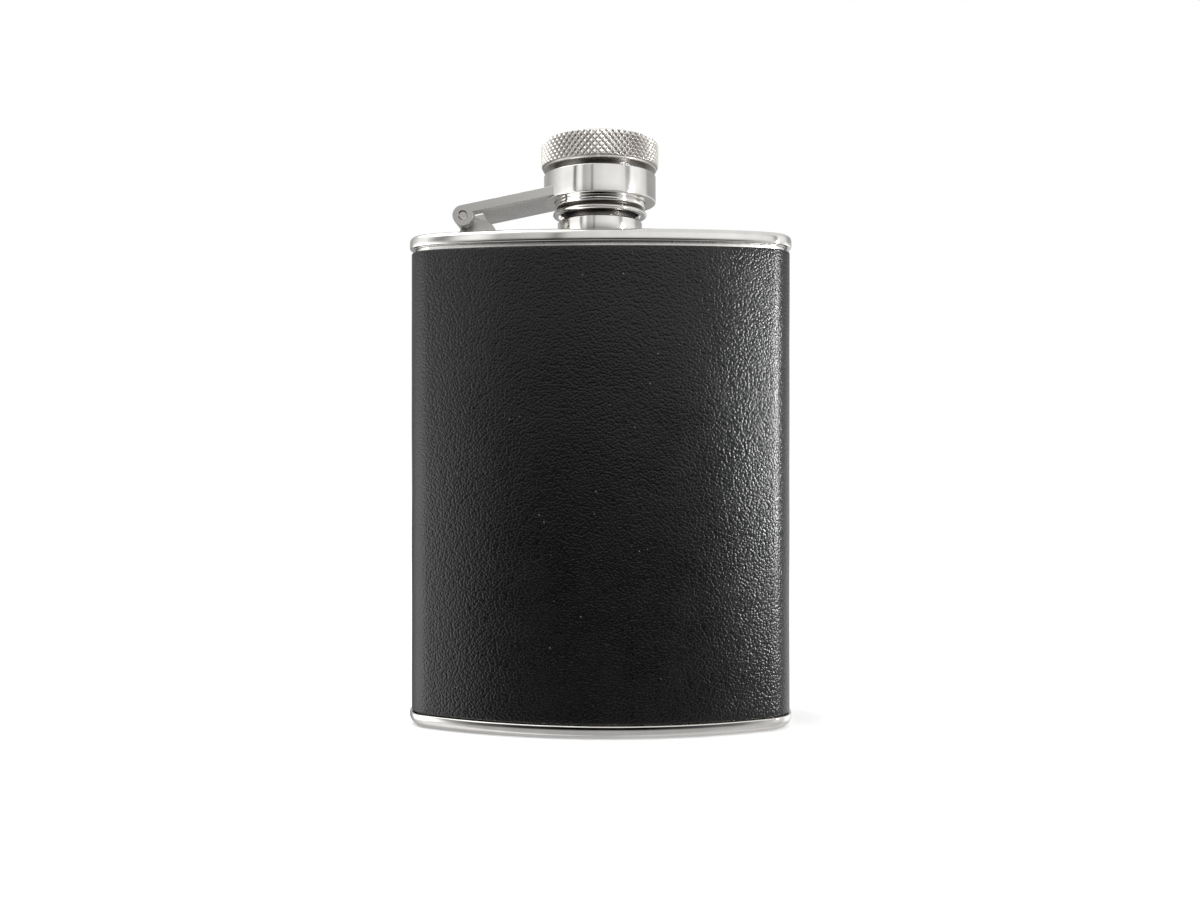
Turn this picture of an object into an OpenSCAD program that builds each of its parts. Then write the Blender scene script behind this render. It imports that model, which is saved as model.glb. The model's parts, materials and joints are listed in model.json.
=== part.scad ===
// Hip flask: a curved stainless bottle in a leather wrap, with a captive screw
// cap that hangs on a hinged arm. The origin is the middle of the base, +X is to
// the right, -Y is the bulging front and +Z is up, in millimetres.

/* [Body] */
// Width over the steel rims
body_w = 70; // [60:1:90]
// Height from the base to the flat top of the shoulder
body_h = 89; // [80:1:120]
// Thickness from front to back, on the middle line
body_t = 21.5; // [18:0.5:26]
// Radius of the bulging front face
front_r = 82; // [75:1:110]
// Radius of the hollow back face
back_r = 170; // [150:5:260]
// Radius of the upright corners
corner_r = 6; // [5.5:0.5:8]
// Wall of the rolled shell
shell_wall = 0.6; // [0.4:0.1:0.8]

/* [Rims] */
// Height of the skirt of the top plate
top_skirt_h = 2.2; // [2:0.1:3]
// Edge rounding of the top plate
top_edge_r = 1; // [0.6:0.1:1.4]
// Height of the skirt of the base plate
base_skirt_h = 2.4; // [2.3:0.1:3]
// Edge rounding of the base plate
base_edge_r = 2; // [1:0.1:2.1]
// Thickness of both plates
plate_t = 0.8; // [0.6:0.1:1]
// Depth of the shallow recess under the base
base_recess = 0.5; // [0.2:0.1:0.8]

/* [Wrap] */
// How far the leather lies inside the rims
wrap_inset = 0.3; // [0.1:0.1:0.5]
// Thickness of the leather
leather_t = 0.8; // [0.6:0.1:1]
// Thickness of the adhesive backing under the leather
backing_t = 0.2; // [0.1:0.1:0.3]
// Bare steel left between the top rim and the leather
top_gap = 0.75; // [0.3:0.05:1.2]
// Gap between the base rim and the leather
base_gap = 0.15; // [0.1:0.05:0.5]
// Width of the butt seam down the back
seam_w = 0.3; // [0.2:0.1:0.6]

/* [Neck] */
// Radius of the filling bore
bore_r = 5.2; // [4.8:0.1:5.3]
// Height of the neck's lip over the top plate
neck_h = 9.6; // [9.2:0.1:9.6]
// Radius of the plain collar at the foot of the neck
foot_r = 7.7; // [7.4:0.05:8]
// Height of the plain collar
foot_h = 2.6; // [2:0.1:2.6]
// Radius of the thread's root
thread_root_r = 6.05; // [5.9:0.05:6.05]
// Height of the thread's ridge
thread_depth = 0.45; // [0.35:0.05:0.45]
// Rise of the thread in one turn
thread_lead = 0.8; // [0.75:0.05:0.8]

/* [Cap] */
// Radius of the knurled head
head_r = 10.7; // [10.5:0.1:11.5]
// Height of the knurled head
head_h = 4.9; // [4:0.1:6]
// Outer radius of the sleeve that turns in the arm
sleeve_r = 8.2; // [8.1:0.05:8.3]
// Wall of the sleeve
sleeve_wall = 0.7; // [0.6:0.05:0.8]
// Radius of the rolled bead that keeps the cap in the arm
bead_r = 8.55; // [8.45:0.05:8.8]
// Height of the bead
bead_h = 0.8; // [0.6:0.1:0.9]

/* [Arm] */
// Outer radius of the arm's collar
collar_r = 10.2; // [9.8:0.1:10.6]
// Height of the collar
collar_h = 4.9; // [4.5:0.1:4.9]
// Underside of the collar over the top plate
collar_z = 6; // [5.8:0.1:6]
// Width of the strap and of the whole hinge
strap_w = 12.6; // [12:0.2:15]
// Thickness of the strap
strap_t = 1.6; // [1.2:0.1:1.8]
// Slope of the strap up to the collar, in degrees
strap_slope = 11.5; // [11:0.5:12]

/* [Hinge] */
// Distance from the neck's axis to the hinge pin
hinge_x = 24.2; // [24:0.2:26]
// Height of the hinge pin over the top plate
hinge_z = 2.8; // [2.6:0.1:3]
// Radius of the knuckles
knuckle_r = 1.85; // [1.7:0.05:1.9]
// Radius of the hinge pin
pin_r = 0.75; // [0.6:0.05:0.9]
// Width of the bracket between the knuckles
bracket_w = 7; // [6:0.2:8]

/* [Hidden] */

$fn = 96;
fine_fn = 720; // the two wide face arcs
running = 0.05; // radial play of the sleeve in the collar
pin_play = 0.03; // radial play of the knuckles on the pin
side_play = 0.1; // play between the bracket and each knuckle
cut = 1; // how far a cutter runs past a face

// Outline of the rims: four arcs about fixed centres, joined by corner arcs.
corner_x = body_w / 2 - corner_r;
front_drop = sqrt(pow(front_r - corner_r, 2) - pow(corner_x, 2));
back_drop = sqrt(pow(back_r + corner_r, 2) - pow(corner_x, 2));
back_overhang = back_r - back_drop + corner_r;
depth = body_t + back_overhang;
front_y = -depth / 2;
back_y = front_y + body_t;
front_centre = [0, front_y + front_r];
back_centre = [0, back_y + back_r];
front_corner = [corner_x, front_centre.y - front_drop];
back_corner = [corner_x, back_centre.y - back_drop];
front_half_angle = asin(corner_x / (front_r - corner_r));
back_half_angle = asin(corner_x / (back_r + corner_r));
front_out = [sin(front_half_angle), -cos(front_half_angle)];
back_out = [-sin(back_half_angle), cos(back_half_angle)];
far_out = 20; // a reach past the outline
weld_gap = 0.05; // left round the pieces that are welded in
corner_lap = 0.002; // corner arcs stand this little proud, so that they join
face_steps = 24; // flats across each face of a pressed plate
corner_steps = 7; // flats round each of its corners
edge_steps = 5; // flats round its rounded edge

// Layers, as distances out from the rims' outline.
leather_out = -wrap_inset;
backing_out = leather_out - leather_t;
shell_out = backing_out - backing_t;
shell_in = shell_out - shell_wall;
skirt_in = shell_out + weld_gap;
recess_out = -5; // edge of the recess under the base

neck_y = front_y + body_t / 2;
base_t = base_recess + plate_t;
neck_tail = 2; // how far the neck runs down through the top plate
tail_wall = 1.2;
tail_r = bore_r + tail_wall;
relief_r = thread_root_r + thread_depth; // the step over the plain collar
relief_h = 5;
foot_chamfer = 0.3;
lip_chamfer = 0.2;

// Cap heights over the top plate, with the cap backed off by one turn.
sleeve_z = 3.5;
head_z = 11.9;
groove_z = 4.35; // the groove over the bead
groove_h = 0.65;
groove_depth = 0.35;
thread_play = 0.15; // between the crest of the neck's thread and the cap's bore
core_in_r = relief_r + thread_play;
ceiling_rise = 0.2;
ceiling_z = head_z + ceiling_rise;

// The seal: a disc that meets the lip, under a flange held in a recess of the cap.
lip_clear = 0.02; // left over the lip with the cap screwed down
seal_inset = 0.15; // how far the disc lies inside the thread's root
seal_disc_h = 0.7;
seal_play = 0.03;
ledge_w = 0.1; // the ledge that holds the flange, and the play beside the flange
seal_z = neck_h + thread_lead + lip_clear;
seal_flange_z = seal_z + seal_disc_h;
seal_lower_r = thread_root_r - seal_inset;
seal_recess_r = core_in_r - ledge_w;
seal_flange_r = seal_recess_r - ledge_w;
head_chamfer = 0.5;

// Thread: a helical ridge on the neck and one turn of it inside the cap.
ridge_steps = 30; // facets in one turn
ridge_foot = 0.25; // half its width at the root
ridge_tip = 0.08; // half its width at the crest
ridge_sunk = 0.16; // how far the ridge is set into its wall
fade_turns = 0.2; // each end runs out over this much of a turn
ridge_start = 0.2; // how deep each end starts, as a share of the ridge's height
ridge_margin = 0.05; // plain wall left beyond the end of a ridge
thread_rise = 0.7; // from the step to the middle of the first turn
thread_z = relief_h + thread_rise;
thread_top = neck_h - lip_chamfer - ridge_foot - ridge_margin;
thread_turns = floor((thread_top - thread_z) / thread_lead * ridge_steps) / ridge_steps;
thread_end = 175; // the neck's thread ends on the hinge side, where the cap lifts clear

// The cap's ridge starts just past that end, half a pitch under it on the same screw,
// so one turn down takes nearly a whole turn of it below the neck's thread.
entry_turns = 0.04;
cap_ridge_z = thread_z + thread_lead * (thread_turns - 0.5 + entry_turns);
cap_ridge_turn = thread_end + 360 * entry_turns;
core_z = cap_ridge_z - ridge_foot - ridge_margin;

// The strap's own frame starts at the hinge pin and runs up to the collar.
strap_gap_l = 3.2; // clear length round the bracket's barrel
heel_l = 5; // the bracket's foot, from the pin towards the neck
heel_h = 2.5;
heel_corner = [0.6, 0.4]; // cut off the foot's upper corner
heel_back = 0.6; // how far the foot runs back under the barrel, as a share of its radius
heel_top = 0.8; // where the foot's top starts, as a share of the same
pin_inset = 0.1;

// Outline of the rims, moved out by grow, with true arcs.
module outline(grow = 0) {
  difference() {
    intersection() {
      translate(front_centre) circle(r = front_r + grow, $fn = fine_fn);
      polygon(concat(
        [[0, front_y - far_out]],
        half_core(grow),
        [for (i = [len(half_core(grow)) - 1 : -1 : 0])
          [-half_core(grow)[i].x, half_core(grow)[i].y]]
      ));
    }
    translate(back_centre) circle(r = back_r - grow, $fn = fine_fn);
  }
  for (side = [-1, 1], corner = [front_corner, back_corner])
    translate([side * corner.x, corner.y]) circle(r = corner_r + grow + corner_lap);
}

// Right half of the region between the corner centres, open at the two faces.
function half_core(grow) = [
  front_corner + (corner_r + far_out) * front_out,
  front_corner,
  front_corner + [corner_r + grow, 0],
  back_corner + [corner_r + grow, 0],
  back_corner,
  back_corner + (corner_r + far_out) * back_out
];

function arc(centre, r, from, to, steps) =
  [for (i = [0 : steps]) let (a = from + (to - from) * i / steps)
    centre + r * [cos(a), sin(a)]];

// The same outline as a closed row of points, left to right across the front.
function outline_points(grow) =
  let (
    r = corner_r + grow,
    right = concat(
      arc(front_corner, r, front_half_angle - 90, 0, corner_steps),
      arc(back_corner, r, 0, 90 + back_half_angle, corner_steps)
    ),
    front = arc(front_centre, front_r + grow,
      270 - front_half_angle, 270 + front_half_angle, face_steps),
    back = arc(back_centre, back_r - grow,
      270 + back_half_angle, 270 - back_half_angle, face_steps)
  )
  concat(
    inner_points(front),
    right,
    inner_points(back),
    [for (i = [len(right) - 1 : -1 : 0]) [-right[i].x, right[i].y]]
  );

function inner_points(row) = [for (i = [1 : len(row) - 2]) row[i]];

// A pressed plate: the outline swept through a section of [distance out, height],
// from the middle of one face round the edge to the middle of the other.
module pressed(section) {
  n = len(outline_points(0));
  points = [for (s = section, p = outline_points(s.x)) [p.x, p.y, s.y]];
  sides = [for (k = [0 : len(section) - 2], i = [0 : n - 1])
    let (a = k * n + i, b = k * n + (i + 1) % n)
    each [[a, b, b + n], [a, b + n, a + n]]];
  first = [for (i = [n - 1 : -1 : 0]) i];
  last = [for (i = [0 : n - 1]) (len(section) - 1) * n + i];
  polyhedron(points, concat([first], sides, [last]));
}

// Rounded edge of a plate whose face is at height 0 and whose skirt rises.
function rounded_edge(edge_r) =
  [for (a = [0 : 90 / edge_steps : 90]) [edge_r * (sin(a) - 1), edge_r * (1 - cos(a))]];

module layer(outer, inner, z, h) {
  translate([0, 0, z]) linear_extrude(h) difference() {
    outline(outer);
    outline(inner);
  }
}

module at_neck() {
  translate([0, neck_y, body_h]) children();
}

module at_hinge() {
  at_neck() translate([-hinge_x, 0, hinge_z]) children();
}

// A bar along Y of length w, drawn in its side view, centred on the hinge.
module across(w) {
  translate([0, w / 2, 0]) rotate([90, 0, 0]) linear_extrude(w) children();
}

// Share of the ridge's full height: both ends start inside the wall.
function fade(turn, turns) = min(1, min(turn, turns - turn) / fade_turns - ridge_start);

// Helical ridge with a flat crest. A positive height points outwards.
module ridge(wall_r, height, turns) {
  way = sign(height);
  steps = round(turns * ridge_steps);
  rings = [for (i = [0 : steps])
    let (turn = i / ridge_steps, f = fade(turn, turns), z = turn * thread_lead)
    [for (corner = [
        [wall_r - way * ridge_sunk, -ridge_foot], [wall_r + height * f, -ridge_tip],
        [wall_r + height * f, ridge_tip], [wall_r - way * ridge_sunk, ridge_foot]])
      [corner.x * cos(360 * turn), corner.x * sin(360 * turn), z + corner.y]]];
  points = [for (ring = rings) each ring];
  turned = way > 0 ? [0, 1, 2, 3] : [3, 2, 1, 0];
  sides = [for (i = [0 : steps - 1], k = [0 : 3])
    let (a = turned[k], b = turned[(k + 1) % 4])
    each [[4 * i + a, 4 * i + b, 4 * i + 4 + b], [4 * i + a, 4 * i + 4 + b, 4 * i + 4 + a]]];
  first = [for (k = [3 : -1 : 0]) turned[k]];
  last = [for (k = [0 : 3]) 4 * steps + turned[k]];
  polyhedron(points, concat([first], sides, [last]));
}

module body_shell() {
  color("silver") layer(shell_out, shell_in, base_t, body_h - plate_t - base_t);
}

module top_plate() {
  section = concat(rounded_edge(top_edge_r), [[0, top_skirt_h], [skirt_in, top_skirt_h],
    [skirt_in, plate_t]]);
  color("gainsboro") difference() {
    translate([0, 0, body_h]) mirror([0, 0, 1]) pressed(section);
    at_neck() translate([0, 0, -plate_t - cut])
      cylinder(r = tail_r + weld_gap, h = plate_t + 2 * cut);
  }
}

module base_plate() {
  color("gainsboro") pressed(concat([[recess_out, base_recess], [recess_out, 0]],
    rounded_edge(base_edge_r), [[0, base_skirt_h], [skirt_in, base_skirt_h],
    [skirt_in, base_t]]));
}

module neck() {
  color("silver") at_neck() {
    rotate_extrude() polygon([
      [bore_r, -neck_tail], [tail_r, -neck_tail], [tail_r, 0], [foot_r, 0],
      [foot_r, foot_h - foot_chamfer], [foot_r - foot_chamfer, foot_h], [relief_r, foot_h],
      [relief_r, relief_h], [thread_root_r, relief_h], [thread_root_r, neck_h - lip_chamfer],
      [thread_root_r - lip_chamfer, neck_h], [bore_r, neck_h]
    ]);
    rotate([0, 0, thread_end - 360 * thread_turns]) translate([0, 0, thread_z])
      ridge(thread_root_r, thread_depth, thread_turns);
  }
}

module wrap(outer, inner) {
  z = base_skirt_h + base_gap;
  difference() {
    layer(outer, inner, z, body_h - top_skirt_h - top_gap - z);
    translate([-seam_w / 2, 0, 0]) cube([seam_w, depth, body_h]);
  }
}

module leather_wrap() {
  color("#1c1b1b") wrap(leather_out, backing_out);
}

module wrap_backing() {
  color("tan") wrap(backing_out, shell_out);
}

module hinge_bracket() {
  color("silver") at_hinge() difference() {
    across(bracket_w) {
      circle(r = knuckle_r);
      polygon([
        [-heel_back * knuckle_r, -hinge_z], [heel_l, -hinge_z],
        [heel_l, heel_h - hinge_z - heel_corner.y],
        [heel_l - heel_corner.x, heel_h - hinge_z],
        [heel_top * knuckle_r, heel_h - hinge_z], [0, 0]
      ]);
    }
    across(bracket_w + 2 * cut) circle(r = pin_r);
  }
}

module hinge_pin() {
  color("darkgray") at_hinge() across(strap_w - 2 * pin_inset) circle(r = pin_r);
}

module arm_strap() {
  notch_w = bracket_w + 2 * side_play;
  color("gainsboro") difference() {
    at_hinge() difference() {
      rotate([0, -strap_slope, 0]) across(strap_w) {
        circle(r = knuckle_r);
        translate([0, knuckle_r - strap_t]) square([hinge_x, strap_t]);
      }
      translate([-knuckle_r - cut, -notch_w / 2, -knuckle_r - cut])
        cube([knuckle_r + cut + strap_gap_l, notch_w, 2 * (knuckle_r + strap_t + cut)]);
      across(strap_w + 2 * cut) circle(r = pin_r + pin_play);
    }
    at_neck() cylinder(r = collar_r, h = collar_z + collar_h + cut);
  }
}

module arm_collar() {
  color("gainsboro") at_neck() translate([0, 0, collar_z]) difference() {
    cylinder(r = collar_r, h = collar_h);
    translate([0, 0, -cut]) cylinder(r = sleeve_r + running, h = collar_h + 2 * cut);
  }
}

module cap_head() {
  sleeve_in_r = sleeve_r - sleeve_wall;
  color("silver") at_neck() {
    rotate_extrude() polygon([
      [0, ceiling_z], [seal_recess_r, ceiling_z], [seal_recess_r, seal_flange_z - seal_play],
      [core_in_r, seal_flange_z - seal_play], [core_in_r, core_z], [sleeve_in_r, core_z],
      [sleeve_in_r, head_z], [head_r - head_chamfer, head_z], [head_r, head_z + head_chamfer],
      [head_r, head_z + head_h - head_chamfer], [head_r - head_chamfer, head_z + head_h],
      [0, head_z + head_h]
    ]);
    rotate([0, 0, cap_ridge_turn]) translate([0, 0, cap_ridge_z])
      ridge(core_in_r, -thread_depth, 1);
  }
}

module cap_sleeve() {
  bead_mid = sleeve_z + bead_h / 2;
  sleeve_in_r = sleeve_r - sleeve_wall;
  color("gainsboro") at_neck() rotate_extrude() union() {
    difference() {
      translate([sleeve_in_r, sleeve_z]) square([sleeve_wall, head_z - sleeve_z]);
      translate([sleeve_r - groove_depth, groove_z]) square([groove_depth + cut, groove_h]);
    }
    translate([bead_r - bead_h / 2, bead_mid]) circle(r = bead_h / 2);
  }
}

module cap_seal() {
  color("dimgray") at_neck() rotate_extrude() polygon([
    [0, seal_z], [seal_lower_r, seal_z], [seal_lower_r, seal_flange_z],
    [seal_flange_r, seal_flange_z], [seal_flange_r, ceiling_z - seal_play],
    [0, ceiling_z - seal_play]
  ]);
}

body_shell();
top_plate();
base_plate();
neck();
leather_wrap();
wrap_backing();
hinge_bracket();
hinge_pin();
arm_strap();
arm_collar();
cap_head();
cap_sleeve();
cap_seal();
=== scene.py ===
"""Looks of the hip flask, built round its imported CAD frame. Lengths are in metres."""

import json
import math

import bmesh
import bpy
import numpy as np
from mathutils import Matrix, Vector, noise


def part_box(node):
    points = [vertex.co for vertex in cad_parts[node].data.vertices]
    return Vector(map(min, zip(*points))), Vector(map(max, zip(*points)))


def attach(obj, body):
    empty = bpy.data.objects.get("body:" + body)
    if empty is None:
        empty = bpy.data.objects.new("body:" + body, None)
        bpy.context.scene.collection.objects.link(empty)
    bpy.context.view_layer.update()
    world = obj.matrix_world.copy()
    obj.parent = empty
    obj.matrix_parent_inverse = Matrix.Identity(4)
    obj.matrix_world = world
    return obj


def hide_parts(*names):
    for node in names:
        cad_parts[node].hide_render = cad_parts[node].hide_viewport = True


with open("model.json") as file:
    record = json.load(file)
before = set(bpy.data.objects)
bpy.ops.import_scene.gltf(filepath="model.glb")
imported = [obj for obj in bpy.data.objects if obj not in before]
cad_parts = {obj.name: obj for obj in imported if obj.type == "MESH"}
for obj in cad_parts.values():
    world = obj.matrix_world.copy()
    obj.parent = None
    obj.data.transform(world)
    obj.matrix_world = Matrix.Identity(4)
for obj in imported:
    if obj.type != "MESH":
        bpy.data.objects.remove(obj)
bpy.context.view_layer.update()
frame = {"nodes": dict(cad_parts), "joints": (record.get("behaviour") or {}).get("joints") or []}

MM = 0.001
TAU = 2 * math.pi

# Places and sizes that the frame gives.
plate_lo, plate_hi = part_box("top_plate")
base_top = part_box("base_plate")[1].z
leather_lo, leather_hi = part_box("leather_wrap")
neck_lo, neck_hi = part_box("neck")
head_lo, head_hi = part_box("cap_head")
sleeve_lo, sleeve_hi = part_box("cap_sleeve")
collar_lo, collar_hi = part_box("arm_collar")
strap_lo, strap_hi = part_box("arm_strap")
bracket_lo, bracket_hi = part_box("hinge_bracket")
pin_lo, pin_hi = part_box("hinge_pin")
joints = {joint["name"]: joint for joint in frame["joints"]}
hinge = Vector(joints["arm_swing"]["pos_m"])
neck_y = (neck_lo.y + neck_hi.y) / 2
top_z = plate_hi.z
head_r = (head_hi.x - head_lo.x) / 2
collar_r = (collar_hi.x - collar_lo.x) / 2
foot_r = (neck_hi.x - neck_lo.x) / 2
bead_r = (sleeve_hi.x - sleeve_lo.x) / 2
knuckle_r = hinge.x - strap_lo.x

# Distances out from the rims' outline, so below 0 inside it.
shell_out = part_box("body_shell")[1].x - plate_hi.x
leather_out = leather_hi.x - plate_hi.x
SKIRT_IN = -1.25 * MM

# Sizes that a box doesn't give. First the body's.
FRONT_R = 82 * MM
BACK_R = 170 * MM
CORNER_R = 6 * MM
TOP_EDGE_R = 1.0 * MM
BASE_EDGE_R = 1.8 * MM
DIP = 0.42 * MM  # how far the top rim is lower in the middle of the front
PLATE_T = 0.8 * MM
LEATHER_T = 0.8 * MM

# The neck. Heights are from the top plate.
BORE_R = 5.2 * MM
TAIL_R = 6.4 * MM  # the part that goes down through the plate
WELD_GAP = 0.05 * MM  # round the tail
FOOT_H = 2.6 * MM
RELIEF_H = 5 * MM  # top of the plain step under the thread

# The thread. The cap's ridge begins ENTRY_TURNS past the place where the neck's ends.
THREAD_ROOT_R = 6.05 * MM
THREAD_DEPTH = 0.45 * MM
THREAD_LEAD = 0.8 * MM
THREAD_TURNS = 4.2333
THREAD_END = math.radians(175)
ENTRY_TURNS = 0.04
RIDGE_FOOT = 0.25 * MM  # half the ridge's width at the wall
RIDGE_TIP = 0.08 * MM  # half the width of its crest
RIDGE_SUNK = 0.16 * MM  # how deep it sits in the wall
RUN_IN = 0.2  # turns in which its ends rise by its full depth
END_DEPTH = 0.2  # where its ends start under the wall, as a share of that depth

# The cap.
HEAD_H = 4.9 * MM
CORE_IN_R = 6.65 * MM  # the wall that carries the thread
SLEEVE_R = 8.2 * MM
SLEEVE_IN_R = 7.5 * MM
GROOVE_DEPTH = 0.35 * MM
KNURL_LINES = 60
KNURL_DEPTH = 0.3 * MM
KNURL_ANGLE = math.radians(42)
KNURL_RISE = TAU * head_r / KNURL_LINES / math.tan(KNURL_ANGLE)  # height of one diamond

# The arm and its hinge.
STRAP_T = 1.6 * MM
STRAP_SLOPE = math.radians(11.5)
PIN_BORE_R = 0.75 * MM
KNUCKLE_BORE_R = 0.84 * MM

QUARTER = np.radians(np.arange(0, 91, 10))  # the steps of a rounded edge


# ---------------------------------------------------------------- mesh helpers

def soften(points, radius, steps=4):
    """Rounds the corners of a closed polygon."""
    made = []
    for i, p in enumerate(points):
        p = Vector(p)
        a = Vector(points[i - 1]) - p
        b = Vector(points[(i + 1) % len(points)]) - p
        turn = a.angle(b)
        if turn > math.radians(172):
            made.append(p)
            continue
        reach = min(radius / math.tan(turn / 2), 0.45 * a.length, 0.45 * b.length)
        start = p + a.normalized() * reach
        end = p + b.normalized() * reach
        for k in range(steps + 1):
            s = k / steps
            made.append((1 - s) ** 2 * start + 2 * s * (1 - s) * p + s ** 2 * end)
    return made


def dense(points, step):
    """Adds points along the long sides of a closed polygon."""
    made = []
    for i, p in enumerate(points):
        q = points[(i + 1) % len(points)]
        n = max(1, math.ceil((q - p).length / step))
        made += [p.lerp(q, k / n) for k in range(n)]
    return made


def skin(rings, around=True, closed=True, fills=()):
    """Points and faces of rows joined by quads. closed joins the last row to the first.
    fills are the rows that a face closes."""
    n = len(rings[0])
    rows = len(rings)
    faces = []
    for k in range(rows if closed else rows - 1):
        a = k * n
        b = (k + 1) % rows * n
        for i in range(n if around else n - 1):
            j = (i + 1) % n
            faces.append((a + i, a + j, b + j, b + i))
    for k in fills:
        faces.append(tuple(range(k % rows * n, k % rows * n + n)))
    return np.concatenate(rings), faces


def piece(name, parts, body, material, nodes=(), sharp=50):
    """An object made of one or more lots of points and faces, riding on a body."""
    mesh = bpy.data.meshes.new(name)
    points = []
    faces = []
    for part_points, part_faces in parts:
        shift = len(points)
        points += [tuple(p) for p in part_points]
        faces += [tuple(i + shift for i in face) for face in part_faces]
    mesh.from_pydata(points, [], faces)
    return settle(name, mesh, body, material, nodes, sharp)


def clean(mesh):
    """Joins the points that meet and turns every face outwards."""
    bm = bmesh.new()
    bm.from_mesh(mesh)
    bmesh.ops.remove_doubles(bm, verts=bm.verts, dist=1e-7)
    bmesh.ops.recalc_face_normals(bm, faces=bm.faces)
    bm.to_mesh(mesh)
    bm.free()


def put(name, data):
    """A new object in the scene."""
    obj = bpy.data.objects.new(name, data)
    bpy.context.scene.collection.objects.link(obj)
    return obj


def settle(name, mesh, body, material, nodes=(), sharp=50):
    """A finished mesh as a piece that rides on a body. Edges over sharp degrees stay crisp."""
    clean(mesh)
    mesh.shade_smooth()
    mesh.set_sharp_from_angle(angle=math.radians(sharp))
    mesh.materials.clear()
    mesh.materials.append(material)
    obj = put(name, mesh)
    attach(obj, body)
    if nodes:
        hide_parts(*nodes)
    return obj


def circle_ring(r, z, n, centre=(0, neck_y)):
    """A level ring. r is one radius or one for each point."""
    a = np.arange(n) * TAU / n
    r = np.broadcast_to(r, n)
    return np.stack([centre[0] + r * np.cos(a), centre[1] + r * np.sin(a), np.full(n, z)], 1)


def lathe(profile, n=192):
    """A ring-shaped solid from a closed profile of (radius, height)."""
    return skin([circle_ring(p[0], p[1], n) for p in profile])


def screw_ridge(root_r, rise, z, turns, start_angle, steps=72):
    """A helical ridge with a flat crest. A negative rise points inwards."""
    sunk = math.copysign(RIDGE_SUNK, rise)
    rows = []
    for i in range(round(turns * steps) + 1):
        turn = i / steps
        fade = min(1, min(turn, turns - turn) / RUN_IN - END_DEPTH)
        a = start_angle + TAU * turn
        section = (
            (root_r - sunk, -RIDGE_FOOT), (root_r + rise * fade, -RIDGE_TIP),
            (root_r + rise * fade, RIDGE_TIP), (root_r - sunk, RIDGE_FOOT),
        )
        rows.append(np.array([
            (r * math.cos(a), neck_y + r * math.sin(a), z + THREAD_LEAD * turn + h)
            for r, h in section
        ]))
    return skin(rows, closed=False, fills=(0, -1))


# ------------------------------------------------------ the rims' outline

corner_x = plate_hi.x - CORNER_R
front_centre_y = plate_lo.y + FRONT_R
front_corner_y = front_centre_y - math.sqrt((FRONT_R - CORNER_R) ** 2 - corner_x ** 2)
back_corner_y = plate_hi.y - CORNER_R
back_centre_y = back_corner_y + math.sqrt((BACK_R + CORNER_R) ** 2 - corner_x ** 2)
front_half = math.asin(corner_x / (FRONT_R - CORNER_R))
back_half = math.asin(corner_x / (BACK_R + CORNER_R))


def outline(step):
    """Points round the rims and their outward directions, from the middle of the back."""
    down = 1.5 * math.pi
    up = 0.5 * math.pi
    arcs = (
        (0, back_centre_y, BACK_R, down, down - back_half, -1),
        (-corner_x, back_corner_y, CORNER_R, up - back_half, math.pi, 1),
        (-corner_x, front_corner_y, CORNER_R, math.pi, down - front_half, 1),
        (0, front_centre_y, FRONT_R, down - front_half, down + front_half, 1),
        (corner_x, front_corner_y, CORNER_R, down + front_half, TAU, 1),
        (corner_x, back_corner_y, CORNER_R, 0, up + back_half, 1),
        (0, back_centre_y, BACK_R, down + back_half, down, -1),
    )
    places = []
    ways = []
    for x, y, r, start, end, side in arcs:
        n = max(6, math.ceil(abs(end - start) * r / step))
        for k in range(n):
            a = start + (end - start) * k / n
            places.append((x + r * math.cos(a), y + r * math.sin(a)))
            ways.append((side * math.cos(a), side * math.sin(a)))
        if r == CORNER_R and end in (math.pi, TAU):
            # The short straight side between two corners.
            side_l = back_corner_y - front_corner_y
            flat = max(2, math.ceil(side_l / step))
            rise = side_l * (1 if end == TAU else -1)
            for k in range(flat):
                places.append((x + r * math.cos(end), y + rise * k / flat))
                ways.append((math.cos(end), 0))
    return np.array(places), np.array(ways)


places, ways = outline(0.8 * MM)


def rim_ring(out, z, dip=0):
    """The outline moved out. dip lowers the middle of the front edge."""
    p = places + ways * out
    front = np.clip(-ways[:, 1] * 3 - 2, 0, 1)
    bow = np.clip(1 - (p[:, 0] / corner_x) ** 2, 0, 1) * front
    return np.column_stack([p, z - dip * bow])


def hole_ring(r, z):
    """A circle about the neck with a point facing each point of the outline."""
    d = places - np.array([0, neck_y])
    d /= np.linalg.norm(d, axis=1)[:, None]
    return np.column_stack([d * r + [0, neck_y], np.full(len(d), z)])


# ---------------------------------------------------------------- materials

# A dark colour painted as shade in the knurl's roots, the sleeve's groove, the gap under the
# head and over the neck's foot.
PAINTED_SHADE = (0.045, 0.04, 0.036, 1)
PAINTED_SHADE_ROUGH = 0.25  # roughness that the painted shade adds
DUST = (0.09, 0.088, 0.085, 1)
WORN_FROM = 0.52  # pointiness at which an edge starts to look worn, and where it is fully so
WORN_TO = 0.6
WORN_GAIN = 1.12

# Texture scales, in features to a metre.
SMUDGES = 240
SCRATCHES = 9000
RIPPLES = 110
TURNING_MARKS = 5000
PEBBLES = 2300
PEBBLE_BENDS = 1700
LEATHER_TOOTH = 5200
LEATHER_PATCHES = 130
MOTES = 420
MOTE_GROUPS = 300


def add(tree, kind, inputs=None, **settings):
    """A shader node. Each input is given a value or linked to another node's output."""
    node = tree.nodes.new("ShaderNode" + kind)
    for key, value in settings.items():
        setattr(node, key, value)
    for key, value in (inputs or {}).items():
        socket = node.inputs[key]
        if isinstance(value, bpy.types.NodeSocket):
            tree.links.new(value, socket)
        else:
            socket.default_value = value
    return node


def ramp(tree, factor, stops):
    """A colour ramp from (place, colour or grey) stops."""
    node = add(tree, "ValToRGB", {0: factor})
    elements = node.color_ramp.elements
    while len(elements) < len(stops):
        elements.new(0.5)
    for element, (place, colour) in zip(elements, stops):
        element.position = place
        colour = (colour,) * 3 if isinstance(colour, (int, float)) else colour
        element.color = (*colour, 1)
    return node.outputs[0]


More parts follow.
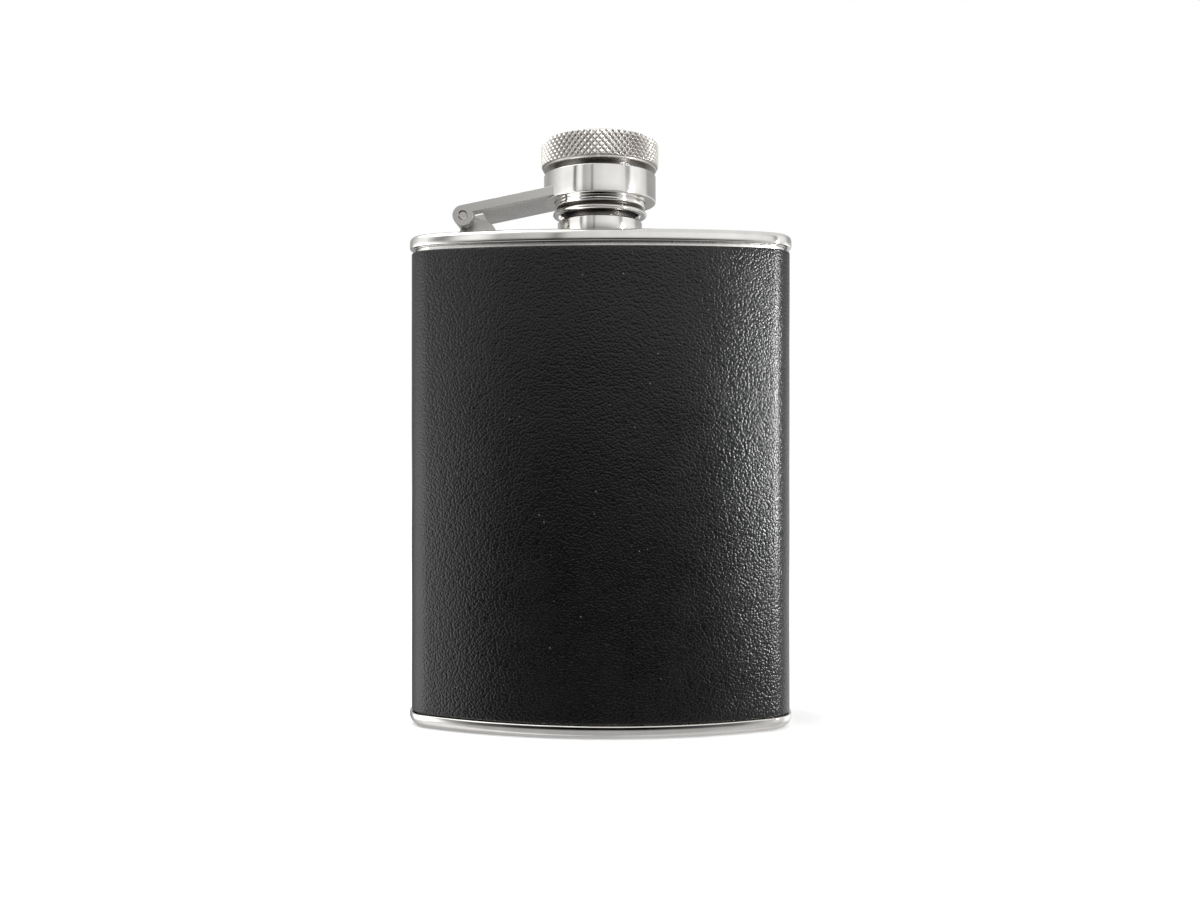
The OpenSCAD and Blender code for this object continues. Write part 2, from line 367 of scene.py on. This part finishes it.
def spread(tree, value, low, high, start=0.3, end=0.7):
    """A texture's value carried over to another range."""
    return add(tree, "MapRange", {
        "Value": value, "From Min": start, "From Max": end, "To Min": low, "To Max": high,
    }).outputs[0]


def grain(tree, place, scale, detail=2.0, rough=0.5):
    """A noise texture's value."""
    return add(tree, "TexNoise", {
        "Vector": place, "Scale": scale, "Detail": detail, "Roughness": rough,
    }).outputs[0]


def stretched(tree, place, scale):
    """The place, scaled along each axis."""
    return add(tree, "Mapping", {"Vector": place, "Scale": scale}).outputs[0]


def bump(tree, level, distance, strength=1.0, under=None):
    """A bumped normal, over another one if given. distance is the depth in metres."""
    inputs = {"Height": level, "Distance": distance, "Strength": strength}
    if under is not None:
        inputs["Normal"] = under
    return add(tree, "Bump", inputs).outputs[0]


def blank(name):
    """A material, its tree, its shader and the place on the object."""
    material = bpy.data.materials.new(name)
    material.use_nodes = True
    tree = material.node_tree
    place = add(tree, "TexCoord").outputs["Object"]
    return material, tree, tree.nodes["Principled BSDF"], place


def from_neck(tree, place):
    """Distance from the neck's axis."""
    middle = add(tree, "VectorMath", {0: place, 1: (0, neck_y, 0)}, operation="SUBTRACT")
    level = add(tree, "VectorMath", {0: middle.outputs[0], 1: (1, 1, 0)}, operation="MULTIPLY")
    return add(tree, "VectorMath", {0: level.outputs[0]}, operation="LENGTH").outputs["Value"]


def height(tree, place):
    """Height over the base."""
    return add(tree, "SeparateXYZ", {0: place}).outputs[2]


def band(tree, value, low, high, soft):
    """1 between two values, with soft ends."""
    start = spread(tree, value, 0, 1, low - soft, low)
    end = spread(tree, value, 1, 0, high, high + soft)
    return add(tree, "Math", {0: start, 1: end}, operation="MULTIPLY").outputs[0]


def steel(name, dark, light, rough, wave, scratch, along=(1, 1, 0.06), shade_mask=None, lines=0):
    """Stainless steel: smudges, a slight waviness, fine marks and brighter worn edges.
    The shade mask, if given, marks where shade is painted in a dark colour. lines is the
    depth of the turning marks round the neck's axis."""
    material, tree, shader, place = blank(name)
    smudge = grain(tree, place, SMUDGES, 5, 0.6)
    marks = grain(tree, stretched(tree, place, along), SCRATCHES, 3, 0.6)
    edge = add(tree, "NewGeometry").outputs["Pointiness"]
    worn = spread(tree, edge, 0, 1, WORN_FROM, WORN_TO)
    colour = ramp(tree, smudge, ((0.3, dark), (0.7, light)))
    bright = tuple(min(1, c * WORN_GAIN) for c in light)
    mixed = add(tree, "Mix", {0: worn, 6: colour, 7: (*bright, 1)}, data_type="RGBA").outputs[2]
    smear = spread(tree, smudge, *rough)
    # Painted shade: the dark colour, and added roughness, where the mask is.
    if shade_mask:
        mask = shade_mask(tree, place)
        mixed = add(tree, "Mix", {0: mask, 6: mixed, 7: PAINTED_SHADE}, data_type="RGBA").outputs[2]
        smear = add(tree, "Math", {0: mask, 1: PAINTED_SHADE_ROUGH, 2: smear}, operation="MULTIPLY_ADD")
        smear = smear.outputs[0]
    tree.links.new(mixed, shader.inputs["Base Color"])
    tree.links.new(smear, shader.inputs["Roughness"])
    swell = bump(tree, grain(tree, place, RIPPLES, 2), wave)
    relief = bump(tree, marks, scratch, 0.6, swell)
    if lines:
        r = add(tree, "CombineXYZ", {0: from_neck(tree, place)}).outputs[0]
        turned = grain(tree, r, TURNING_MARKS, 3, 0.7)
        relief = bump(tree, turned, lines, 1.0, relief)
    tree.links.new(relief, shader.inputs["Normal"])
    shader.inputs["Metallic"].default_value = 1
    return material


def knurl_root_shade(tree, place):
    """Painted shade in the roots of the knurl."""
    root_r = head_r - 0.32 * MM
    unshaded_r = head_r - 0.14 * MM
    root = spread(tree, from_neck(tree, place), 0.8, 0, root_r, unshaded_r)
    low = head_hi.z - HEAD_H + 0.42 * MM
    high = head_hi.z - 0.5 * MM
    level = band(tree, height(tree, place), low, high, 0.1 * MM)
    return add(tree, "Math", {0: root, 1: level}, operation="MULTIPLY").outputs[0]


def sleeve_gap_shade(tree, place):
    """Painted shade in the groove over the bead and in the gap under the head."""
    low = sleeve_lo.z
    up = height(tree, place)
    groove = band(tree, up, low + 0.86 * MM, low + 1.48 * MM, 0.03 * MM)
    gap = spread(tree, up, 0, 0.85, collar_hi.z - 0.5 * MM, collar_hi.z)
    return add(tree, "Math", {0: groove, 1: gap}, operation="MAXIMUM").outputs[0]


def neck_foot_shade(tree, place):
    """Painted shade on the plain stretch over the neck's foot, under the sleeve."""
    outside = spread(tree, from_neck(tree, place), 0.8, 0, foot_r - 0.3 * MM, foot_r - 0.1 * MM)
    level = band(tree, height(tree, place), top_z + FOOT_H, top_z + 3.7 * MM, 0.3 * MM)
    return add(tree, "Math", {0: outside, 1: level}, operation="MULTIPLY").outputs[0]


def leather():
    """Black leather: small pebbles, painted shade in the creases between, a soft sheen and a
    little dust.
    """
    material, tree, shader, place = blank("leather")
    bend = add(tree, "TexNoise", {"Vector": place, "Scale": PEBBLE_BENDS, "Detail": 3})
    moved = add(tree, "VectorMath", {0: bend.outputs["Color"], 3: 0.12 * MM},
                operation="SCALE").outputs[0]
    warped = add(tree, "VectorMath", {0: place, 1: moved}).outputs[0]
    cells = add(tree, "TexVoronoi", {"Vector": warped, "Scale": PEBBLES}).outputs["Distance"]
    fine = grain(tree, place, LEATHER_TOOTH, 3, 0.6)
    patches = grain(tree, place, LEATHER_PATCHES, 4, 0.6)
    domes = ramp(tree, cells, ((0.0, 1.0), (0.45, 0.75), (0.8, 0.0)))
    dark = (0.0012, 0.0012, 0.0011)
    light = (0.0024, 0.0023, 0.0022)
    colour = ramp(tree, patches, ((0.3, dark), (0.7, light)))
    # Painted shade: the colour is darker down in the creases between the pebbles.
    creases = ramp(tree, cells, ((0.4, 1.0), (0.8, 0.4)))
    tone = add(tree, "Mix", {0: 1.0, 6: colour, 7: creases}, data_type="RGBA",
               blend_type="MULTIPLY").outputs[2]
    motes = add(tree, "TexVoronoi", {"Vector": place, "Scale": MOTES})
    near = spread(tree, motes.outputs["Distance"], 1, 0, 0.03, 0.07)
    few = spread(tree, grain(tree, place, MOTE_GROUPS, 1), 0, 1, 0.52, 0.56)
    dust = add(tree, "Math", {0: near, 1: few}, operation="MULTIPLY").outputs[0]
    dusted = add(tree, "Mix", {0: dust, 6: tone, 7: DUST}, data_type="RGBA").outputs[2]
    tree.links.new(dusted, shader.inputs["Base Color"])
    tree.links.new(spread(tree, patches, 0.22, 0.28), shader.inputs["Roughness"])
    lumps = bump(tree, domes, 0.04 * MM)
    toothed = bump(tree, fine, 0.008 * MM, 1.0, lumps)
    tree.links.new(toothed, shader.inputs["Normal"])
    shader.inputs["Specular IOR Level"].default_value = 0.5
    return material


def matt(name, dark, light, rough, scale, depth):
    """Rubber or film: an even matt surface with a fine tooth."""
    material, tree, shader, place = blank(name)
    patches = grain(tree, place, scale, 4)
    tooth = grain(tree, place, 20 * scale, 3)
    tree.links.new(ramp(tree, patches, ((0.3, dark), (0.7, light))), shader.inputs["Base Color"])
    tree.links.new(spread(tree, patches, *rough), shader.inputs["Roughness"])
    tree.links.new(bump(tree, tooth, depth), shader.inputs["Normal"])
    return material


SHINE = {
    "dark": (0.70, 0.685, 0.66), "light": (0.80, 0.785, 0.76), "rough": (0.05, 0.13),
    "wave": 2.2e-5, "scratch": 6e-7,
}
POLISHED = steel("polished", **SHINE)
# The sleeve's material paints shade in its groove and under the head.
GROOVED = steel("grooved", **SHINE, shade_mask=sleeve_gap_shade)
# The neck's material paints shade over its foot.
NECK_STEEL = steel("neck_steel", **SHINE, shade_mask=neck_foot_shade)
SATIN = steel("satin", (0.55, 0.54, 0.52), (0.66, 0.65, 0.63), (0.22, 0.34), 1e-5, 3e-6)
# A slightly rougher steel for the hinge bracket; its darker colour is painted shade from the
# knuckle over it.
SHADE_DARKENED_STEEL = steel("shade_darkened", (0.50, 0.49, 0.47), (0.62, 0.61, 0.59), (0.2, 0.36), 1.5e-5, 4e-6)
# The knurled material paints shade in the knurl's roots.
KNURLED = steel("knurled", (0.50, 0.475, 0.45), (0.66, 0.635, 0.60), (0.22, 0.36), 8e-6, 3e-6,
                shade_mask=knurl_root_shade, lines=2.5e-6)
TURNED = steel("turned", (0.50, 0.48, 0.46), (0.64, 0.62, 0.60), (0.24, 0.4), 1e-5, 5e-6,
               along=(1, 0.06, 1))
LEATHER = leather()
RUBBER = matt("rubber", (0.02, 0.02, 0.02), (0.035, 0.035, 0.035), (0.6, 0.75), 400, 6e-6)
FILM = matt("film", (0.42, 0.36, 0.28), (0.5, 0.44, 0.35), (0.55, 0.7), 300, 5e-6)


# ---------------------------------------------------------------- the body

# The leather's edge at the seam: distance from the middle, and how far it rolls in as a
# share of the thickness.
SEAM = ((0.03 * MM, 0.35), (0.06 * MM, 0.2), (0.12 * MM, 0.1), (0.22 * MM, 0.03),
        (0.4 * MM, 0))
DIP_FALL = 10 * MM  # height over which the dip of the upper edge dies out
SWELL = 0.05 * MM
SWELLS_PER_M = 75


def wrap(name, outer, inner, drop, material, node):
    """A strip round the shell with soft edges and a butt seam down the back. It stays by
    drop under the leather's upper edge."""
    thick = outer - inner
    low = leather_lo.z + drop * 0.2
    high = leather_hi.z - drop
    section = [(inner, low), (outer, low), (outer, high), (inner, high)]
    section = dense(soften(section, 0.36 * thick), 1.1 * MM)
    at_seam = [ways[0]] * len(SEAM)
    outward = np.vstack([at_seam, ways[1:], at_seam])
    roll = [r for _, r in SEAM] + [0] * (len(ways) - 1) + [r for _, r in reversed(SEAM)]
    strips = []
    for out, z in section:
        share = max(0, 1 - (leather_hi.z - z) / DIP_FALL)
        ring = rim_ring(out, z, DIP * share)
        start = [(-x, ring[0, 1], ring[0, 2]) for x, _ in SEAM]
        end = [(x, ring[0, 1], ring[0, 2]) for x, _ in reversed(SEAM)]
        strip = np.vstack([start, ring[1:], end])
        strips.append(strip)
        if out < outer - 0.4 * thick:
            continue
        for p, way, r in zip(strip, outward, roll):
            swell = noise.noise(Vector(p) * SWELLS_PER_M) * SWELL
            p[:2] += way * (swell - 0.03 * MM - r * thick)
    points, faces = skin(strips, around=False)
    n = len(strips[0])
    rows = len(strips)
    faces.append(tuple(k * n for k in range(rows)))
    faces.append(tuple(k * n + n - 1 for k in range(rows)))
    piece(name, [(points, faces)], "flask", material, [node])


def make_wrap():
    between = leather_out - LEATHER_T
    wrap("leather_skin", leather_out, between, 0, LEATHER, "leather_wrap")
    wrap("leather_backing", between - 0.03 * MM, shell_out + 0.01 * MM, 0.15 * MM,
         FILM, "wrap_backing")


def make_top_plate():
    bottom = plate_lo.z
    under = top_z - PLATE_T
    hole_r = TAIL_R + WELD_GAP
    r = TOP_EDGE_R
    # The flat top, from the neck out.
    rings = [
        hole_ring(hole_r, top_z),
        rim_ring(-4 * MM, top_z),
        rim_ring(-2.4 * MM, top_z, DIP * 0.3),
        rim_ring(-1.15 * r, top_z, DIP * 0.95),
    ]
    # The rounded edge.
    for a in QUARTER:
        rings.append(rim_ring(r * (math.sin(a) - 1), top_z - r * (1 - math.cos(a)), DIP))
    # The skirt, with its soft lower edge, and back along the inside.
    rings += [
        rim_ring(0, bottom + 0.6 * MM, DIP),
        rim_ring(0, bottom + 0.15 * MM, DIP),
        rim_ring(-0.03 * MM, bottom + 0.05 * MM, DIP),
        rim_ring(-0.08 * MM, bottom, DIP),
        rim_ring(SKIRT_IN + 0.1 * MM, bottom, DIP),
        rim_ring(SKIRT_IN, bottom + 0.1 * MM, DIP),
        rim_ring(SKIRT_IN, under - 0.1 * MM, DIP),
        rim_ring(-4 * MM, under),
        hole_ring(hole_r, under),
    ]
    piece("shoulder", [skin(rings)], "flask", POLISHED, ["top_plate"])


def make_base_plate():
    recess = 0.5 * MM
    floor_t = 1.3 * MM
    floor_out = -5.9 * MM
    r = BASE_EDGE_R
    # The recess under the base, and the flat ring that the flask stands on.
    rings = [
        rim_ring(floor_out, recess),
        rim_ring(-5.3 * MM, recess),
        rim_ring(-5.1 * MM, recess - 0.06 * MM),
        rim_ring(-4.7 * MM, 0.06 * MM),
        rim_ring(-4.5 * MM, 0),
        rim_ring(-1.3 * r, 0),
    ]
    # The rounded edge.
    for a in QUARTER:
        rings.append(rim_ring(r * (math.sin(a) - 1), r * (1 - math.cos(a))))
    # The skirt's soft upper edge, and down the inside to the floor.
    rings += [
        rim_ring(0, base_top - 0.2 * MM),
        rim_ring(-0.03 * MM, base_top - 0.07 * MM),
        rim_ring(-0.1 * MM, base_top - 0.01 * MM),
        rim_ring(-0.2 * MM, base_top),
        rim_ring(SKIRT_IN, base_top),
        rim_ring(SKIRT_IN, floor_t),
        rim_ring(floor_out, floor_t),
    ]
    piece("foot_plate", [skin(rings, closed=False, fills=(0, -1))], "flask",
          POLISHED, ["base_plate"])


def make_neck():
    foot_top = top_z + FOOT_H
    relief_r = THREAD_ROOT_R + THREAD_DEPTH
    relief_z = top_z + RELIEF_H
    foot_bevel = 0.25 * MM
    lip_bevel = 0.2 * MM
    tail = neck_lo.z
    lip = neck_hi.z
    profile = [
        (BORE_R, tail), (TAIL_R, tail), (TAIL_R, top_z), (foot_r, top_z),
        (foot_r, foot_top - foot_bevel), (foot_r - foot_bevel, foot_top), (relief_r, foot_top),
        (relief_r, relief_z), (THREAD_ROOT_R, relief_z), (THREAD_ROOT_R, lip - lip_bevel),
        (THREAD_ROOT_R - lip_bevel, lip), (BORE_R, lip),
    ]
    thread_z = relief_z + 0.7 * MM
    start = THREAD_END - TAU * THREAD_TURNS
    ridge = screw_ridge(THREAD_ROOT_R, THREAD_DEPTH, thread_z, THREAD_TURNS, start)
    piece("filling_neck", [lathe(soften(profile, 0.08 * MM)), ridge], "flask",
          NECK_STEEL, ["neck"])


# ---------------------------------------------------------------- the cap

HEAD_POINTS = 720  # round the head: twelve to a knurl line


def knurl_r(z):
    """Radii round the head at one height, where two sets of slanting grooves cross."""
    a = np.arange(HEAD_POINTS) / HEAD_POINTS * KNURL_LINES
    up = 1 - abs(2 * ((a + z / KNURL_RISE) % 1) - 1)
    down = 1 - abs(2 * ((a - z / KNURL_RISE) % 1) - 1)
    crest = np.minimum(np.minimum(up, down) / 0.88, 1)
    return head_r - KNURL_DEPTH * (1 - crest)


def make_head():
    n = HEAD_POINTS
    low = head_hi.z - HEAD_H
    high = head_hi.z
    edge = 0.6 * MM
    land = head_r - 0.36 * MM
    land_top = low + 0.34 * MM
    # The underside and the plain land, then the knurl, which runs over the rounded edge.
    rows = [(SLEEVE_IN_R, low), (land - 0.15 * MM, low), (land, low + 0.12 * MM),
            (land, land_top)]
    z = low + 0.36 * MM
    while z < high - edge:
        rows.append((min(head_r, land + (z - low - 0.34 * MM)), z))
        z += KNURL_RISE / 12
    for a in np.radians(np.arange(0, 91, 7.5)):
        rows.append((head_r - edge * (1 - math.cos(a)), high - edge * (1 - math.sin(a))))
    rings = []
    for r, z in rows:
        cut = np.minimum(r, knurl_r(z)) if r > land + 1e-9 else r
        rings.append(circle_ring(cut, z, n))
    # The flat top, in to the middle.
    top_rings = 24
    for k in range(1, top_rings):
        rings.append(circle_ring((head_r - edge) * (1 - k / top_rings), high, n))
    # The hollow core: its ceiling, the seal's recess, and the wall that carries the thread.
    ceiling = sleeve_hi.z + 0.2 * MM
    ledge = ceiling - 1.01 * MM
    recess_r = CORE_IN_R - 0.1 * MM
    soft = 0.05 * MM
    inner = [(0.1 * MM, ceiling), (recess_r, ceiling), (recess_r, ledge), (CORE_IN_R, ledge),
             (CORE_IN_R, head_lo.z + soft), (CORE_IN_R + soft, head_lo.z),
             (SLEEVE_IN_R - soft, head_lo.z), (SLEEVE_IN_R, head_lo.z + soft)]
    inside = [circle_ring(r, z, n) for r, z in inner]
    body = skin(inside + rings, closed=False, fills=(0, -1))
    start = THREAD_END + TAU * ENTRY_TURNS
    ridge = screw_ridge(CORE_IN_R, -THREAD_DEPTH, head_lo.z + 0.3 * MM, 1, start)
    piece("knurled_head", [body, ridge], "cap", KNURLED, ["cap_head"],
          sharp=32)


def make_sleeve():
    low = sleeve_lo.z
    bead = 0.4 * MM
    centre_r = bead_r - bead
    groove_r = SLEEVE_R - GROOVE_DEPTH
    profile = [Vector((SLEEVE_IN_R, low + 0.1 * MM)), Vector((SLEEVE_IN_R + 0.1 * MM, low))]
    for a in np.radians(np.arange(-90, 91, 15)):
        profile.append(Vector((centre_r + bead * math.cos(a), low + bead * (1 + math.sin(a)))))
    # The groove over the bead, then the plain wall. Heights are in millimetres.
    for r, z in ((groove_r + 0.05 * MM, 0.84), (groove_r, 0.92), (groove_r, 1.42),
                 (groove_r + 0.05 * MM, 1.5), (SLEEVE_R - 0.08 * MM, 1.52),
                 (SLEEVE_R, 1.6), (SLEEVE_R, 2.0)):
        profile.append(Vector((r, low + z * MM)))
    profile += [Vector((SLEEVE_R, sleeve_hi.z)), Vector((SLEEVE_IN_R, sleeve_hi.z))]
    piece("cap_tube", [lathe(profile)], "cap", GROOVED, ["cap_sleeve"])


# ---------------------------------------------------------------- the arm and hinge

def make_collar():
    bore = SLEEVE_R + 0.05 * MM
    profile = soften([(bore, collar_lo.z), (collar_r, collar_lo.z), (collar_r, collar_hi.z),
                      (bore, collar_hi.z)], 0.22 * MM, 6)
    piece("arm_ring", [lathe(profile, 256)], "arm", POLISHED,
          ["arm_collar"])


def solid(name, rings):
    """A plain object closed at both ends, to cut with or to build on."""
    mesh = bpy.data.meshes.new(name)
    points, faces = skin(rings, closed=False, fills=(0, -1))
    mesh.from_pydata([tuple(p) for p in points], [], faces)
    clean(mesh)
    return put(name, mesh)


def prism(name, profile, half_width):
    """A bar along Y from its side view, given from the hinge."""
    return solid(name, [
        np.array([(hinge.x + p[0], neck_y + y, hinge.z + p[1]) for p in profile])
        for y in (-half_width, half_width)
    ])


def round_profile(r, n=48):
    return [(r * math.cos(TAU * k / n), r * math.sin(TAU * k / n)) for k in range(n)]


def upright_drum(name, r, z0, z1, n=192):
    return solid(name, [circle_ring(r, z0, n), circle_ring(r, z1, n)])


def carved(obj, tools, width):
    """The mesh after its cuts and unions, with its edges rounded."""
    for way, tool in tools:
        cut = obj.modifiers.new("cut", "BOOLEAN")
        cut.operation = way
        cut.solver = "EXACT"
        cut.object = tool
    rounding = obj.modifiers.new("rounding", "BEVEL")
    rounding.width = width
    rounding.segments = 3
    rounding.limit_method = "ANGLE"
    rounding.angle_limit = math.radians(35)
    bpy.context.view_layer.update()
    graph = bpy.context.evaluated_depsgraph_get()
    mesh = bpy.data.meshes.new_from_object(obj.evaluated_get(graph))
    for _, tool in tools:
        bpy.data.objects.remove(tool)
    bpy.data.objects.remove(obj)
    return mesh


def make_strap():
    r = knuckle_r
    level = r - STRAP_T
    reach = abs(hinge.x)
    # The flat bar, then the roll of the knuckles from its underside round to its top.
    start = math.atan2(level, math.sqrt(r * r - level * level))
    sweep = 1.5 * math.pi + start
    steps = 48
    bar = [(0, r), (reach, r), (reach, level)]
    bar += [(r * math.cos(start - sweep * k / steps), r * math.sin(start - sweep * k / steps))
            for k in range(steps)]
    c = math.cos(STRAP_SLOPE)
    s = math.sin(STRAP_SLOPE)
    side = [(x * c - z * s, x * s + z * c) for x, z in bar]
    half = (strap_hi.y - strap_lo.y) / 2
    notch_half = (bracket_hi.y - bracket_lo.y) / 2 + 0.1 * MM
    notch_x = 3.2 * MM
    far = 4 * MM
    notch = [(-far, -far), (notch_x, -far), (notch_x, far), (-far, far)]
    ring_r = collar_r - 0.4 * MM
    tools = (
        ("DIFFERENCE", prism("notch", notch, notch_half)),
        ("DIFFERENCE", prism("pin_hole", round_profile(KNUCKLE_BORE_R), half + MM)),
        ("DIFFERENCE", upright_drum("ring_space", ring_r, top_z, head_hi.z)),
    )
    mesh = carved(prism("strap_bar", side, half), tools, 0.08 * MM)
    settle("hinge_strap", mesh, "arm", SATIN, ["arm_strap"], sharp=10)


def make_bracket():
    r = knuckle_r
    foot = top_z - hinge.z
    heel = 5 * MM
    # The side view of the foot, whose top slopes up to the barrel.
    block = [(-0.6 * r, foot), (heel, foot), (heel, -1.2 * MM), (4.6 * MM, -0.85 * MM),
             (1.7 * MM, 0.25 * MM), (0, 0.5 * MM)]
    half = (bracket_hi.y - bracket_lo.y) / 2
    tools = (
        ("UNION", prism("block", block, half)),
        ("DIFFERENCE", prism("pin_way", round_profile(PIN_BORE_R), half + MM)),
    )
    mesh = carved(prism("barrel", round_profile(r), half), tools, 0.12 * MM)
    # The bracket's darker steel is painted shade.
    settle("hinge_block", mesh, "flask", SHADE_DARKENED_STEEL, ["hinge_bracket"], sharp=10)


def make_pin():
    r = (pin_hi.x - pin_lo.x) / 2
    half = (pin_hi.y - pin_lo.y) / 2
    chamfer = 0.12 * MM
    tiny = 0.02 * MM
    profile = ((tiny, -half), (r - chamfer, -half), (r, chamfer - half), (r, half - chamfer),
               (r - chamfer, half), (tiny, half))
    n = 64
    a = np.arange(n) * TAU / n
    rings = []
    for radius, along in profile:
        rings.append(np.stack([hinge.x + radius * np.cos(a), np.full(n, neck_y + along),
                               hinge.z + radius * np.sin(a)], 1))
    piece("hinge_pin_turned", [skin(rings, closed=False, fills=(0, -1))], "flask",
          TURNED, ["hinge_pin"], sharp=35)


make_wrap()
make_top_plate()
make_base_plate()
make_neck()
make_head()
make_sleeve()
make_collar()
make_strap()
make_bracket()
make_pin()


def repaint(node, material):
    """A carried-over CAD node gets a better material in its own slots."""
    for place in frame["nodes"][node].material_slots:
        place.material = material


repaint("body_shell", SATIN)
repaint("cap_seal", RUBBER)


# ---------------------------------------------------------------- floor, light and camera

def make_floor():
    """A pale matt floor that the steel doesn't reflect."""
    half = 6.0
    mesh = bpy.data.meshes.new("floor")
    mesh.from_pydata([(-half, -half, 0), (half, -half, 0), (half, half, 0), (-half, half, 0)],
                     [], [(0, 1, 2, 3)])
    floor = put("floor", mesh)
    material, tree, shader, place = blank("pale_floor")
    tone = ramp(tree, grain(tree, place, 30, 3), ((0.3, 0.88), (0.7, 0.92)))
    tree.links.new(tone, shader.inputs["Base Color"])
    shader.inputs["Roughness"].default_value = 0.8
    shader.inputs["Specular IOR Level"].default_value = 0
    mesh.materials.append(material)
    floor.visible_glossy = False


# What the steel reflects: brightness by direction in degrees, where 0 is the front and + is
# to the right, for the upper and the lower half of the studio. GAIN is their common scale.
AROUND_UPPER = (
    (-180, 0.5), (-128, 0.45), (-112, 0.65), (-96, 0.9), (-80, 1.15), (-56, 1.2), (-52, 0.3),
    (-49, 0.26), (-46, 0.9), (-40, 1.3), (-36, 1.1), (-32, 0.55), (-18, 0.7), (-14, 0.3),
    (-10, 0.8), (8, 0.95), (40, 1.1), (53, 0.95), (57, 0.5), (64, 0.5), (68, 1.2), (88, 1.1),
    (108, 0.8), (116, 0.42), (180, 0.5),
)
AROUND_LOWER = (
    (-180, 0.35), (-150, 0.3), (-125, 0.45), (-105, 1.8), (-66, 3.1), (-54, 2.1), (-48, 0.5),
    (-40, 0.16), (-25, 0.03), (-8, 0.0), (12, 0.0), (25, 0.05), (42, 0.18), (50, 0.6),
    (58, 0.95), (70, 0.95), (76, 0.8), (90, 0.9), (104, 1.6), (125, 1.4), (150, 0.9),
    (180, 0.35),
)
GAIN = 4.0
OVERHEAD = 0.9
UNDERNEATH = (0.6, 0.595, 0.6)
EVEN_LIGHT = 1.16  # what diffuse surfaces are lit by


def around(tree, share, stops):
    """Greys by direction from (degrees, brightness) stops."""
    return ramp(tree, share, [(a / 360 + 0.5, v / GAIN) for a, v in stops])


def make_world():
    """A studio with dark cards for the steel to reflect; seen direct it is white."""
    world = bpy.data.worlds.new("studio")
    world.use_nodes = True
    tree = world.node_tree
    tree.nodes.clear()
    way = add(tree, "SeparateXYZ", {0: add(tree, "TexCoord").outputs["Generated"]})
    back = add(tree, "Math", {0: way.outputs[1], 1: -1.0}, operation="MULTIPLY").outputs[0]
    turn = add(tree, "Math", {0: way.outputs[0], 1: back}, operation="ARCTAN2").outputs[0]
    share = spread(tree, turn, 0, 1, -math.pi, math.pi)
    up = way.outputs[2]
    level = around(tree, share, AROUND_LOWER)
    # Each layer is mixed in between two heights of the direction, up to a share.
    for colour, start, end, most in (
        (around(tree, share, AROUND_UPPER), -0.02, 0.2, 1),
        ((*[OVERHEAD / GAIN] * 3, 1), 0.35, 0.7, 1),
        ((*[c / GAIN for c in UNDERNEATH], 1), -0.32, -0.5, 0.8),
    ):
        part = spread(tree, up, 0, most, start, end)
        level = add(tree, "Mix", {0: part, 6: level, 7: colour}, data_type="RGBA").outputs[2]
    path = add(tree, "LightPath")
    glossy = add(tree, "Background", {0: level, 1: GAIN})
    even = add(tree, "Background", {0: (1, 1, 1, 1), 1: EVEN_LIGHT})
    white = add(tree, "Background", {0: (1, 1, 1, 1), 1: 1.0})
    soft = add(tree, "MixShader", {0: path.outputs["Is Diffuse Ray"], 1: glossy.outputs[0],
                                   2: even.outputs[0]})
    both = add(tree, "MixShader", {0: path.outputs["Is Camera Ray"], 1: soft.outputs[0],
                                   2: white.outputs[0]})
    out = add(tree, "OutputWorld")
    tree.links.new(both.outputs[0], out.inputs[0])
    bpy.context.scene.world = world


def soft_light(name, place, wide, tall, power):
    """An area light aimed at the flask's middle line, no higher than its shoulder."""
    light = bpy.data.lights.new(name, "AREA")
    light.shape = "RECTANGLE"
    light.size = wide
    light.size_y = tall
    light.energy = power
    lamp = put(name, light)
    lamp.location = place
    aim = Vector((0, 0, min(place[2], top_z))) - lamp.location
    lamp.rotation_euler = aim.to_track_quat("-Z", "Y").to_euler()


CAMERA_TURN = math.radians(1.4)
CAMERA_FAR = 190 * MM
CAMERA_Z = 0.583 * top_z
LENS = 0.85975  # focal length over the sensor's width
SHIFT = 1 / 120  # how far the horizon stands over the picture's middle, over its width


def make_camera():
    data = bpy.data.cameras.new("camera")
    data.lens = data.sensor_width * LENS
    data.shift_y = -SHIFT
    data.clip_start = 0.01
    camera = put("camera", data)
    camera.location = (CAMERA_FAR * math.sin(CAMERA_TURN), -CAMERA_FAR * math.cos(CAMERA_TURN),
                       CAMERA_Z)
    camera.rotation_euler = (math.pi / 2, 0, CAMERA_TURN)
    bpy.context.scene.camera = camera


bpy.context.scene.view_settings.view_transform = "Standard"
make_floor()
make_world()
soft_light("overhead", (-0.3, -0.05, 0.6), wide=0.5, tall=0.5, power=2.0)
soft_light("strip", (0.48, -0.225, 0.0625), wide=0.032, tall=0.205, power=2.7)
make_camera()
